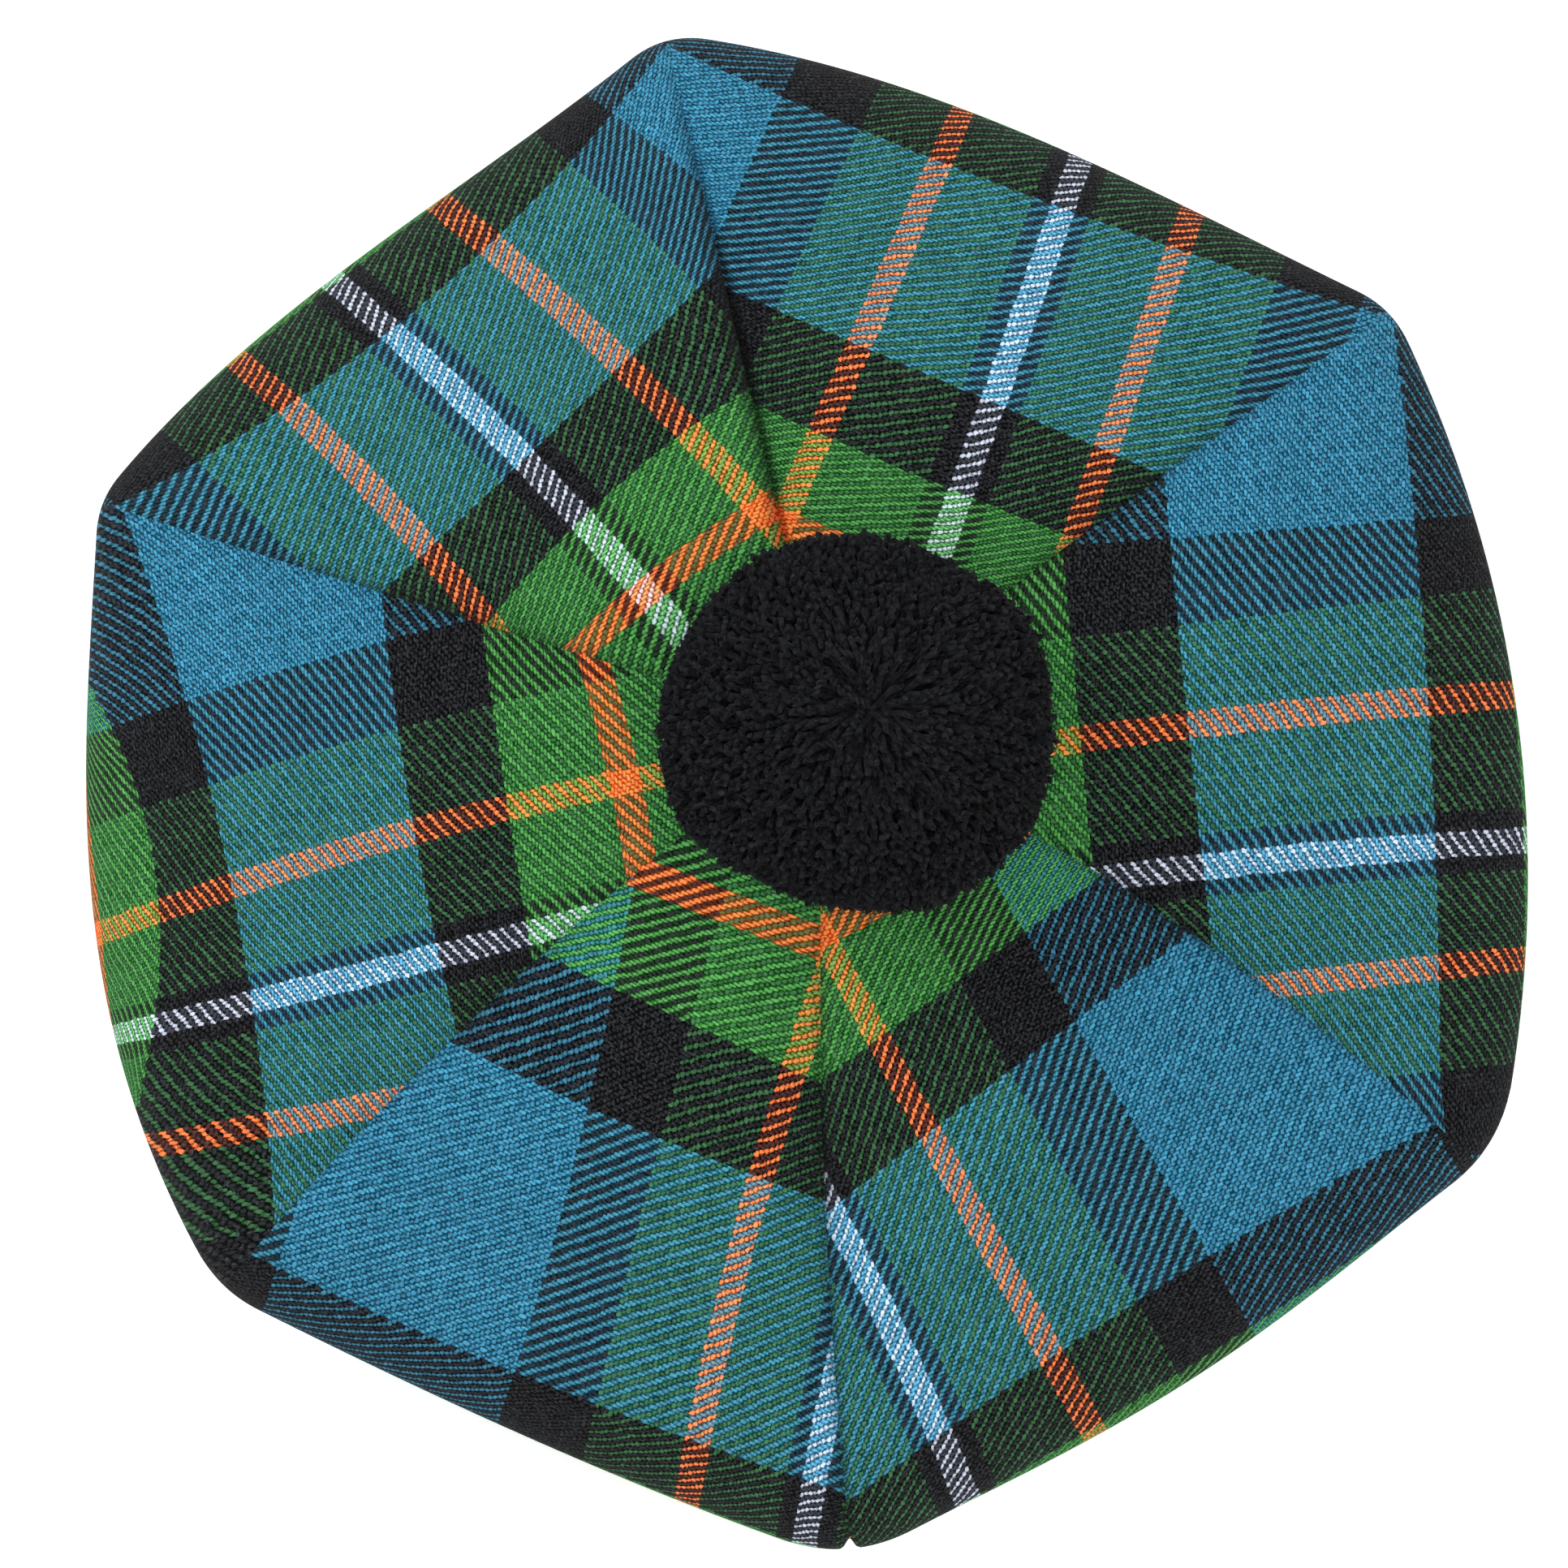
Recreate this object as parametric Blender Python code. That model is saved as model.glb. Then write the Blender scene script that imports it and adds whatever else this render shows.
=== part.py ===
"""A tam o shanter: six cloth gores, a headband and a wool pompom.

Frame: metres, +Z up. The origin is on the floor, below the middle of the hat's outline. The headband
stands on the floor. Seen from above, +X is right and +Y is back.
"""
from collections import namedtuple
import math

import bmesh
import bpy
from mathutils import Vector

MM = 0.001

# Cloth and gaps
CLOTH = 1.5 * MM
GAP = 0.3 * MM

# Crown: where the six seams meet, and how the cloth leaves that point
CROWN_CENTRE = Vector((3.0, 12.0)) * MM
CROWN_HEIGHT = 72.0 * MM
CROWN_HOLE = 3.0 * MM
CROWN_SLOPE = math.radians(7.0)
CROWN_REACH = 0.5             # share of the way out that keeps near to the crown's slope
FLAT_TIP = 25.0 * MM          # inside this radius the wall's thickness is measured straight down

# Headband: a plain standing ring
BAND_RADIUS = 91.0 * MM       # inside, for a head of 57 cm
BAND_WALL = 2.4 * MM
BAND_HEIGHT = 28.0 * MM
BAND_SIDES = 60
BAND_EDGE = 0.8 * MM          # rounding of its edges
BAND_CENTRE = Vector((0.0, 0.0))
UNDERSIDE_REACH = 0.5         # share of the underside that runs in flat before it turns down
UNDERSIDE_DROOP = 9.0 * MM

# Pompom: a ball of cut yarn, with its locks standing out of a round head
POMPOM_CENTRE = Vector((8.5, 13.5)) * MM
POMPOM_SIZE = Vector((72.0, 69.0, 62.0)) * MM
POMPOM_REST = math.radians(4.5)   # slope of the seat on which its underside is pressed flat
POMPOM_SUNK = 7.0 * MM        # how much of the ball's height the seat takes away
POMPOM_LOCK = 3.4 * MM        # how far a lock stands out of the head
POMPOM_LOCK_WAIST = 0.62      # size of a lock's shoulder against its foot
POMPOM_ROUNDS = 3             # subdivisions of the ball that the locks are set out on

# Mesh steps of a gore
STEPS_ACROSS = 12
STEPS_TOP = 13
STEPS_UNDER = 8

# A seam runs from the crown's centre to a corner of the outline. azimuth and reach place the corner,
# bow is how far its middle swings anticlockwise, valley is how deep it lies on the crown, and notch
# at the rim. The cloth falls into it over spread_cw on its clockwise side and spread_ccw on the other.
Seam = namedtuple("Seam", "azimuth reach bow valley notch spread_cw spread_ccw")
SEAMS = {
    "front_right_side": Seam(326.2, 149.5, 7.5, 3.5, 1.0, 16.0, 12.0),
    "right_back_side": Seam(36.2, 135.5, 0.5, 4.0, 0.8, 14.0, 20.0),
    "back": Seam(103.0, 136.0, -0.5, 5.0, 0.6, 24.0, 12.0),
    "left_back_side": Seam(162.8, 143.8, 0.5, 5.0, 0.6, 12.0, 24.0),
    "left_front_side": Seam(223.0, 156.5, -5.0, 4.0, 0.8, 18.0, 12.0),
    "front": Seam(271.8, 158.0, 0.5, 7.0, 2.0, 18.0, 16.0),
}

# A gore lies between two seams, going round anticlockwise. bulge is how far the rim swells out of the
# straight line between its corners, lean moves that swell towards the second seam, rim_height is the
# height of the widest line, and the fullness above and below it sets how round the rim is.
Gore = namedtuple("Gore", "first second bulge lean rim_height full_above full_below puff")
GORES = {
    "gore_right": Gore("front_right_side", "right_back_side", 16.7, 0.0, 21.0, 17.0, 14.0, 2.0),
    "gore_back_right": Gore("right_back_side", "back", 7.6, 0.6, 21.0, 22.0, 15.0, 3.0),
    "gore_back_left": Gore("back", "left_back_side", 4.6, 0.6, 21.0, 24.0, 15.0, 3.5),
    "gore_left": Gore("left_back_side", "left_front_side", 14.2, 0.3, 24.0, 30.0, 18.0, 1.5),
    "gore_front_left": Gore("left_front_side", "front", 3.6, 0.0, 22.0, 20.0, 15.0, 4.0),
    "gore_front_right": Gore("front", "front_right_side", 7.0, 0.1, 21.0, 22.0, 15.0, 3.5),
}

CLOTH_COLOURS = {
    "gore_right": (0.041, 0.201, 0.323),
    "gore_back_right": (0.052, 0.215, 0.250),
    "gore_back_left": (0.067, 0.230, 0.062),
    "gore_left": (0.041, 0.201, 0.323),
    "gore_front_left": (0.052, 0.215, 0.250),
    "gore_front_right": (0.067, 0.230, 0.062),
    "headband": (0.016, 0.017, 0.020),
    "pompom": (0.008, 0.008, 0.010),
}


def clear_scene():
    for old in list(bpy.data.objects):
        bpy.data.objects.remove(old, do_unlink=True)


def make_material(name, colour, roughness):
    material = bpy.data.materials.new(name)
    material.use_nodes = True
    shader = material.node_tree.nodes["Principled BSDF"]
    shader.inputs["Base Color"].default_value = (*colour, 1.0)
    shader.inputs["Roughness"].default_value = roughness
    shader.inputs["Metallic"].default_value = 0.0
    return material


def add_object(name, mesh, roughness=0.9):
    body = bpy.data.objects.new(name, mesh)
    bpy.context.collection.objects.link(body)
    mesh.materials.append(make_material(name + "_finish", CLOTH_COLOURS[name], roughness))
    return body


def lerp(a, b, share):
    return a + (b - a) * share


def polar(angle, radius):
    return Vector((math.cos(angle), math.sin(angle))) * radius


def bezier(points, share):
    """The point at a share of the way along a cubic curve."""
    first, second, third, last = points
    rest = 1.0 - share
    return (first * rest ** 3 + second * (3 * rest * rest * share)
            + third * (3 * rest * share * share) + last * share ** 3)


def corner(seam):
    return CROWN_CENTRE + polar(math.radians(seam.azimuth), seam.reach * MM)


def seam_fall(distance, spread):
    """1 at the seam, dropping to 0 where the cloth has left the valley."""
    return max(0.0, 1.0 - distance / (spread * MM)) ** 2


class GoreShape:
    """The outer face of one gore, as rows from the crown's centre over the rim to the headband."""

    def __init__(self, gore):
        self.gore = gore
        self.first, self.second = SEAMS[gore.first], SEAMS[gore.second]
        self.beyond_first = next(other for other in GORES.values() if other.second == gore.first)
        self.beyond_second = next(other for other in GORES.values() if other.first == gore.second)
        self.corner_a, self.corner_b = corner(self.first), corner(self.second)
        chord = self.corner_b - self.corner_a
        self.outward = Vector((chord.y, -chord.x)).normalized()
        self.band_angle_a = self.band_angle(self.corner_a)
        self.band_angle_b = self.band_angle(self.corner_b)
        if self.band_angle_b < self.band_angle_a:
            self.band_angle_b += math.tau

    @staticmethod
    def band_angle(point):
        arm = point - BAND_CENTRE
        return math.atan2(arm.y, arm.x)

    def shared(self, field, across):
        """A measure of the rim in metres: the gore's own in its middle, the mean of both at a seam."""
        own = getattr(self.gore, field)
        beyond = getattr(self.beyond_first if across < 0 else self.beyond_second, field)
        return lerp(own, (own + beyond) / 2.0, across * across) * MM

    def rim_point(self, across):
        """The widest point of the gore, for across from -1 at the first seam to 1 at the second."""
        share = (across + 1.0) / 2.0
        swell = self.gore.bulge * MM * (1.0 - across * across) * (1.0 + self.gore.lean * across)
        return lerp(self.corner_a, self.corner_b, share) + self.outward * swell

    def band_point(self, across, radius):
        angle = lerp(self.band_angle_a, self.band_angle_b, (across + 1.0) / 2.0)
        return BAND_CENTRE + polar(angle, radius)

    def column(self, across):
        """Points from crown to headband with their outward directions and sideways directions."""
        rim = self.rim_point(across)
        arm = rim - CROWN_CENTRE
        length, ahead = arm.length, arm.normalized()
        side = Vector((-ahead.y, ahead.x))
        bow = lerp(self.first.bow, self.second.bow, (across + 1.0) / 2.0) * MM
        rim_z = self.shared("rim_height", across)
        top = [Vector((0.0, CROWN_HEIGHT)),
               Vector((CROWN_REACH * length, CROWN_HEIGHT - CROWN_REACH * length * math.tan(CROWN_SLOPE))),
               Vector((length, rim_z + self.shared("full_above", across))),
               Vector((length, rim_z))]
        points = []
        for step in range(STEPS_TOP + 1):
            start = CROWN_HOLE / (3.0 * CROWN_REACH * length)
            share = lerp(start, 1.0, step / STEPS_TOP)
            flat = bezier(top, share)
            out = flat.x / length
            place = CROWN_CENTRE + ahead * flat.x + side * (bow * 4.0 * out * (1.0 - out))
            points.append((place, flat.y, ahead, side, out, share))
        points += self.under_points(across, rim, rim_z)
        return points

    def under_points(self, across, rim, rim_z):
        """The underside, from below the rim in to the headband and onto its top edge."""
        foot_z = BAND_HEIGHT + GAP
        foot = self.band_point(across, BAND_RADIUS + BAND_WALL + 1.5 * MM)
        run = (rim - foot).length
        outward = (rim - foot).normalized()
        side = Vector((-outward.y, outward.x))
        below = self.shared("full_below", across)
        under = [Vector((run, rim_z)), Vector((run, rim_z - below)),
                 Vector((UNDERSIDE_REACH * run, foot_z - UNDERSIDE_DROOP)), Vector((0.0, foot_z))]
        points = []
        for step in range(1, STEPS_UNDER + 1):
            share = step / STEPS_UNDER
            flat = bezier(under, share)
            points.append((foot + outward * flat.x, flat.y, outward, side, 1.0, 1.0 + share))
        lip = self.band_point(across, BAND_RADIUS + 0.2 * MM)
        points.append((lip, foot_z, outward, side, 1.0, 2.2))
        return points

    def relief(self, across, out, share):
        """How far the cloth stands off the plain profile: the puff of the gore less its seam valleys."""
        width = (self.corner_b - self.corner_a).length * out / 2.0
        to_first, to_second = width * (across + 1.0), width * (1.0 - across)
        rising = math.sin(min(1.0, out * 1.6) * math.pi / 2.0) ** 2
        if share <= 1.0:
            depth_a = lerp(self.first.valley, self.first.notch, out ** 3) * rising
            depth_b = lerp(self.second.valley, self.second.notch, out ** 3) * rising
            puff = self.gore.puff * math.sin(math.pi * min(1.0, out)) ** 2
        else:
            fade = max(0.0, 2.0 - share)
            depth_a, depth_b, puff = self.first.notch * fade, self.second.notch * fade, 0.0
        drop = (depth_a * seam_fall(to_first, self.first.spread_ccw)
                + depth_b * seam_fall(to_second, self.second.spread_cw))
        return (puff * (1.0 - across * across) - drop) * MM


def profile_normals(column):
    """For each point of a column, the outward direction in the column's own upright plane."""
    normals = []
    for index, (place, height, ahead, _, _, _) in enumerate(column):
        before, after = column[max(0, index - 1)], column[min(len(column) - 1, index + 1)]
        along = (after[0] - before[0]).dot(ahead)
        rise = after[1] - before[1]
        length = math.hypot(along, rise)
        normals.append(Vector((ahead.x * -rise, ahead.y * -rise, along)) / length)
    return normals


def gore_grid(shape):
    """Outer points of a gore, [across][along], and the sideways direction at each."""
    grid, sides = [], []
    for step in range(STEPS_ACROSS + 1):
        across = -math.cos(math.pi * step / STEPS_ACROSS)
        column = shape.column(across)
        points = []
        for normal, (place, height, _, side, out, share) in zip(profile_normals(column), column):
            base = Vector((place.x, place.y, height)) - Vector((side.x, side.y, 0.0)) * (across * GAP / 2)
            points.append(base + normal * shape.relief(across, out, share))
        grid.append(points)
        sides.append([Vector((point[3].x, point[3].y, 0.0)) for point in column])
    return grid, sides


def inner_point(grid, sides, i, j):
    """The point one cloth thickness behind the outer face."""
    last_i, last_j = len(grid) - 1, len(grid[0]) - 1
    across = grid[min(i + 1, last_i)][j] - grid[max(i - 1, 0)][j]
    along = grid[i][min(j + 1, last_j)] - grid[i][max(j - 1, 0)]
    normal = along.cross(across).normalized()
    if i in (0, last_i):
        normal -= sides[i][j] * normal.dot(sides[i][j])
    if j == last_j:
        normal = Vector((0.0, 0.0, -1.0))
    from_centre = (grid[i][j].xy - CROWN_CENTRE).length
    if from_centre < FLAT_TIP:
        normal = lerp(Vector((0.0, 0.0, 1.0)), normal.normalized(), from_centre / FLAT_TIP)
    return grid[i][j] - normal.normalized() * CLOTH


def closed_wall(name, outer, inner):
    """A closed solid between two grids of points."""
    mesh = bpy.data.meshes.new(name)
    work = bmesh.new()
    outside = [[work.verts.new(point) for point in row] for row in outer]
    inside = [[work.verts.new(point) for point in row] for row in inner]
    last_i, last_j = len(outer) - 1, len(outer[0]) - 1
    for i in range(last_i):
        for j in range(last_j):
            work.faces.new((outside[i][j], outside[i][j + 1], outside[i + 1][j + 1], outside[i + 1][j]))
            work.faces.new((inside[i][j], inside[i + 1][j], inside[i + 1][j + 1], inside[i][j + 1]))
    for i in (0, last_i):
        for j in range(last_j):
            work.faces.new((outside[i][j], outside[i][j + 1], inside[i][j + 1], inside[i][j]))
    for j in (0, last_j):
        for i in range(last_i):
            work.faces.new((outside[i][j], outside[i + 1][j], inside[i + 1][j], inside[i][j]))
    bmesh.ops.triangulate(work, faces=work.faces)
    bmesh.ops.recalc_face_normals(work, faces=work.faces)
    work.to_mesh(mesh)
    work.free()
    mesh.shade_smooth()
    return mesh


def make_gore(name):
    outer, sides = gore_grid(GoreShape(GORES[name]))
    inner = [[inner_point(outer, sides, i, j) for j in range(len(outer[0]))] for i in range(len(outer))]
    return add_object(name, closed_wall(name, outer, inner))


def make_headband():
    """A standing ring of cloth, turned from a section with softened edges."""
    low, high = 0.0, BAND_HEIGHT
    near, far = BAND_RADIUS, BAND_RADIUS + BAND_WALL
    section = [(near + BAND_EDGE, low), (far - BAND_EDGE, low), (far, low + BAND_EDGE),
               (far, high - BAND_EDGE), (far - BAND_EDGE, high), (near + BAND_EDGE, high),
               (near, high - BAND_EDGE), (near, low + BAND_EDGE)]
    mesh = bpy.data.meshes.new("headband")
    work = bmesh.new()
    rings = []
    for side in range(BAND_SIDES):
        turn = polar(math.tau * side / BAND_SIDES, 1.0)
        rings.append([work.verts.new((BAND_CENTRE.x + turn.x * radius, BAND_CENTRE.y + turn.y * radius, z))
                      for radius, z in section])
    for here, there in zip(rings, rings[1:] + rings[:1]):
        for k in range(len(section)):
            n = (k + 1) % len(section)
            work.faces.new((here[k], there[k], there[n], here[n]))
    bmesh.ops.recalc_face_normals(work, faces=work.faces)
    work.to_mesh(mesh)
    work.free()
    mesh.shade_smooth()
    return add_object("headband", mesh)


def lock_cells(work):
    """The cells round each point of a ball, as rings of directions: where the locks stand."""
    bmesh.ops.create_icosphere(work, subdivisions=POMPOM_ROUNDS, radius=1.0)
    cells = []
    for vert in work.verts:
        middle = vert.co.normalized()
        ring = [face.calc_center_median().normalized() for face in vert.link_faces]
        first = (ring[0] - middle * ring[0].dot(middle)).normalized()
        second = middle.cross(first)
        ring.sort(key=lambda point: math.atan2(point.dot(second), point.dot(first)))
        cells.append((middle, ring))
    return cells


def make_pompom():
    """A round head whose surface stands out in one blunt lock for each cell."""
    guide = bmesh.new()
    cells = lock_cells(guide)
    guide.free()
    half = POMPOM_SIZE / 2
    centre = Vector((POMPOM_CENTRE.x, POMPOM_CENTRE.y, CROWN_HEIGHT + half.z - POMPOM_SUNK))

    def surface(direction, lift):
        point = Vector([d * (h - POMPOM_LOCK + lift) for d, h in zip(direction, half)]) + centre
        seat = CROWN_HEIGHT + GAP - (point.xy - CROWN_CENTRE).length * math.tan(POMPOM_REST)
        point.z = max(point.z, seat)
        return point

    mesh = bpy.data.meshes.new("pompom")
    work = bmesh.new()
    corners = {}

    def corner_vert(direction):
        key = tuple(round(value, 4) for value in direction)
        if key not in corners:
            corners[key] = work.verts.new(surface(direction, 0.0))
        return corners[key]

    for middle, ring in cells:
        foot = [corner_vert(point) for point in ring]
        waist = [lerp(middle, point, POMPOM_LOCK_WAIST).normalized() for point in ring]
        shoulder = [work.verts.new(surface(point, POMPOM_LOCK * 0.7)) for point in waist]
        tip = work.verts.new(surface(middle, POMPOM_LOCK))
        for k in range(len(ring)):
            n = (k + 1) % len(ring)
            work.faces.new((foot[k], foot[n], shoulder[n], shoulder[k]))
            work.faces.new((shoulder[k], shoulder[n], tip))
    bmesh.ops.triangulate(work, faces=work.faces)
    bmesh.ops.recalc_face_normals(work, faces=work.faces)
    work.to_mesh(mesh)
    work.free()
    mesh.shade_smooth()
    return add_object("pompom", mesh, roughness=1.0)


def main():
    clear_scene()
    for name in GORES:
        make_gore(name)
    make_headband()
    make_pompom()


main()
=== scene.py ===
# %% [markdown]
# # A tam o shanter
# The hat is a round wool cap seen from straight above: six gores of checked cloth that meet under a big
# wool pompom, and a plain band underneath that the head goes into. The CAD already has every piece at
# its real size. This script gives each one its real surface: the twill cloth with its tartan, the soft
# valleys along the seams, and the yarn of the pompom.

import math
from collections import namedtuple

import bmesh
import bpy
import numpy as np
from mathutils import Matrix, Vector


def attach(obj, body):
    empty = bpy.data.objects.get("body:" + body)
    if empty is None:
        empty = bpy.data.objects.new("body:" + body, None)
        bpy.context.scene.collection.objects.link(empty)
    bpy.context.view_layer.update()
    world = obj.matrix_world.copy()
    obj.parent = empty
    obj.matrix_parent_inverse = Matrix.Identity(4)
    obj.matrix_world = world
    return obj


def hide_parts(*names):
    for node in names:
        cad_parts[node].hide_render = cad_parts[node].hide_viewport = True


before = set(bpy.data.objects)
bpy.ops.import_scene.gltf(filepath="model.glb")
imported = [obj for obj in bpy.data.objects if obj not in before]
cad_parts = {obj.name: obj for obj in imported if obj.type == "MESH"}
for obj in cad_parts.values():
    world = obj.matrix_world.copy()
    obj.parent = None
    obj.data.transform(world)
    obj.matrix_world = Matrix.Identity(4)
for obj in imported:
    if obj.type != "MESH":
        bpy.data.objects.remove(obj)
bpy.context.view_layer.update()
MM = 0.001

# %% [markdown]
# ## Camera, floor and light
# The photo looks straight down, so the camera hangs over the hat and looks along -Z. Seen from far
# away with a long lens, lines that are parallel stay nearly parallel, as they do in the photo. The
# lens follows from the stretch of floor that the picture covers.

# %% Camera
PICTURE_WIDTH = 299.5 * MM  # what the picture covers at the height of the rim
PICTURE_CENTRE = Vector((-4.8, 1.4, 22.0)) * MM
CAMERA_DISTANCE = 4.0
camera_data = bpy.data.cameras.new("camera")
camera_data.sensor_width = 36.0
camera_data.lens = camera_data.sensor_width * CAMERA_DISTANCE / PICTURE_WIDTH
camera_data.clip_end = 50.0
camera = bpy.data.objects.new("camera", camera_data)
camera.location = PICTURE_CENTRE + Vector((0.0, 0.0, CAMERA_DISTANCE))
bpy.context.scene.collection.objects.link(camera)
bpy.context.scene.camera = camera
print("lens in mm:", round(camera_data.lens))

# %% [markdown]
# A plain pale floor carries the hat. It is lit a little from within, like a studio's light table, so
# that the hat's own soft shadow hardly shows on it. The light is soft: most of it falls from a wide
# panel overhead, so the rim and the sides of the folds get less of it, and a smaller panel from the back
# left gives each fold a lighter and a darker side. Standard colours are used, so that the dyes look as
# saturated as they do in the photo.

# %% Floor and light
WHITE = (1.0, 1.0, 1.0, 1.0)
FLOOR_SIZE = 6.0
FLOOR_COLOUR = (0.93, 0.93, 0.93)
FLOOR_GLOW = 0.42
SKY_STRENGTH = 0.42
Panel = namedtuple("Panel", "name size power place")
PANELS = (
    Panel("panel_overhead", 3.0, 55.0, Vector((0.35, -0.2, 2.45))),
    Panel("panel_back_left", 0.8, 17.0, Vector((-1.35, 1.0, 1.35))),
)


def principled(name, colour, roughness):
    """A new material and its Principled shader."""
    material = bpy.data.materials.new(name)
    material.use_nodes = True
    shader = material.node_tree.nodes["Principled BSDF"]
    shader.inputs["Base Color"].default_value = (*colour, 1.0)
    shader.inputs["Roughness"].default_value = roughness
    return material, shader


def add_floor():
    half = FLOOR_SIZE / 2
    mesh = bpy.data.meshes.new("floor")
    mesh.from_pydata([(-half, -half, 0), (half, -half, 0), (half, half, 0), (-half, half, 0)], [],
                     [(0, 1, 2, 3)])
    pale_floor, shader = principled("pale_floor", FLOOR_COLOUR, 0.8)
    shader.inputs["Emission Color"].default_value = WHITE
    shader.inputs["Emission Strength"].default_value = FLOOR_GLOW
    mesh.materials.append(pale_floor)
    floor = bpy.data.objects.new("floor", mesh)
    bpy.context.scene.collection.objects.link(floor)


def add_light():
    world = bpy.data.worlds.new("soft_sky")
    world.use_nodes = True
    sky = world.node_tree.nodes["Background"]
    sky.inputs["Color"].default_value = WHITE
    sky.inputs["Strength"].default_value = SKY_STRENGTH
    bpy.context.scene.world = world
    for panel in PANELS:
        data = bpy.data.lights.new(panel.name, "AREA")
        data.size = panel.size
        data.energy = panel.power
        light = bpy.data.objects.new(panel.name, data)
        light.location = panel.place
        light.rotation_euler = panel.place.to_track_quat("Z", "Y").to_euler()
        bpy.context.scene.collection.objects.link(light)


add_floor()
add_light()
bpy.context.scene.view_settings.view_transform = "Standard"
print("floor and light are in place")

# %% [markdown]
# ## The form of the six gores
# A gore is one piece of cloth that runs from the crown out over the rim and back in to the headband.
# Six of them are sewn together side by side. Cloth that soft could be simulated, but the photo fixes
# where each seam and each corner lies, so the surface is worked out instead: each column of points
# follows a curve from the crown over the rim, between the two seams beside it. The sizes below are
# the construction's own.

# %% Sizes of the hat
CLOTH = 1.5 * MM
SEAM_OVERLAP = 0.05 * MM  # neighbouring gores run into each other, so no light comes through
CROWN_CENTRE = np.array((3.0, 12.0)) * MM
CROWN_HEIGHT = 72.0 * MM
CROWN_HOLE = 3.0 * MM
CROWN_SLOPE = math.radians(7.0)
CROWN_REACH = 0.5
BAND_RADIUS = 91.0 * MM
BAND_WALL = 2.4 * MM
BAND_HEIGHT = 28.0 * MM
BAND_GAP = 0.3 * MM
UNDERSIDE_REACH = 0.5
UNDERSIDE_DROOP = 9.0 * MM
FOOT_RADIUS = BAND_RADIUS + BAND_WALL + 1.5 * MM  # where the underside comes down beside the band
LIP_RADIUS = BAND_RADIUS + 0.2 * MM

# A seam's direction is in degrees and its sizes are in mm. `part` is where it cuts the rounded corner.
# `groove` and `slot` are how deep the stitches pull the cloth down on the crown and at the rim.
Seam = namedtuple("Seam", "azimuth reach rounding part bow valley spread_cw spread_ccw "
                          "groove slot roll_cw roll_ccw")
SEAMS = {
    "front_right_side": Seam(328.1, 151.9, 12.0, 0.3, 6.0, 3.5, 16.0, 12.0, 0.6, 0.0, 1.0, 0.0),
    "right_back_side": Seam(36.6, 134.9, 7.0, 0.5, 0.5, 4.0, 14.0, 20.0, 1.3, 0.0, 0.6, 0.0),
    "back": Seam(103.1, 136.4, 8.0, 0.5, -0.5, 6.0, 18.0, 12.0, 2.4, 0.0, 0.0, 6.0),
    "left_back_side": Seam(162.7, 145.4, 6.0, 0.5, 0.5, 5.0, 12.0, 24.0, 0.25, 0.0, 2.5, 0.0),
    "left_front_side": Seam(222.9, 157.7, 8.0, 0.5, -5.0, 4.0, 18.0, 12.0, 0.35, 0.0, 0.0, 1.2),
    "front": Seam(271.8, 159.6, 14.0, 0.5, -2.8, 7.0, 18.0, 16.0, 0.9, 2.0, 0.0, 0.6),
}
Gore = namedtuple("Gore", "first second bulge lean box rim_height full_above full_below puff")
GORES = {
    "gore_right": Gore("front_right_side", "right_back_side", 13.9, 0.0, 0.0, 21.0, 17.0, 14.0, 2.0),
    "gore_back_right": Gore("right_back_side", "back", 6.3, 0.5, 0.0, 21.0, 22.0, 15.0, 3.0),
    "gore_back_left": Gore("back", "left_back_side", 3.9, 1.0, 0.0, 21.0, 24.0, 15.0, 3.5),
    "gore_left": Gore("left_back_side", "left_front_side", 12.8, 0.3, -0.1, 24.0, 30.0, 18.0, 1.5),
    "gore_front_left": Gore("left_front_side", "front", 2.4, 0.2, 0.0, 22.0, 20.0, 15.0, 4.0),
    "gore_front_right": Gore("front", "front_right_side", 5.4, 0.0, -0.7, 21.0, 22.0, 15.0, 3.5),
}
print(len(GORES), "gores between", len(SEAMS), "seams")

# %% [markdown]
# The form is worked out for a whole grid at once. `across` runs from -1 at one seam to 1 at the other,
# and `out` runs from 0 at the crown to 1 at the rim. Near a seam the stitches pull the cloth down into
# a narrow groove, on top of the wide valley that the CAD has too, and at some seams the fuller gore
# rolls over it. Nothing stiffens the rim, so its corners are soft.

# %% The form of one gore
STEPS_ACROSS = 64
STEPS_TOP = 84
STEPS_UNDER = 30
GROOVE_WIDTH = 1.1 * MM
ROLL_WIDTH = 2.8 * MM
VALLEY_START = 1.6  # a valley is full from 1 / 1.6 of the way out, a groove from 1 / 4
GROOVE_START = 4.0
UNDER_SHARES = np.arange(1, STEPS_UNDER + 1) / STEPS_UNDER
STITCHED_SHARE = np.concatenate([np.ones(STEPS_TOP + 1), 1.0 - UNDER_SHARES, [0.0]])


def lerp(a, b, share):
    return a + (b - a) * share


def bezier(points, share):
    """Points at shares of the way along a cubic curve. Each control is a (distance, height) pair."""
    rest = 1.0 - share
    weights = (rest ** 3, 3 * rest * rest * share, 3 * rest * share * share, share ** 3)
    return [sum(weight * point[k] for weight, point in zip(weights, points)) for k in (0, 1)]


def polar(angle, radius=1.0):
    return np.stack([np.cos(angle), np.sin(angle)], -1) * radius


def unit(vectors):
    return vectors / np.linalg.norm(vectors, axis=-1, keepdims=True)


def raised(plan, height):
    """Plan points with their heights."""
    return np.concatenate([plan, np.broadcast_to(height, plan.shape[:-1])[..., None]], axis=-1)


def quarter_turn(vectors):
    """Plan vectors turned a quarter anticlockwise."""
    return np.stack([-vectors[..., 1], vectors[..., 0]], -1)


def corner(seam):
    return CROWN_CENTRE + polar(math.radians(seam.azimuth), seam.reach * MM)


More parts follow.
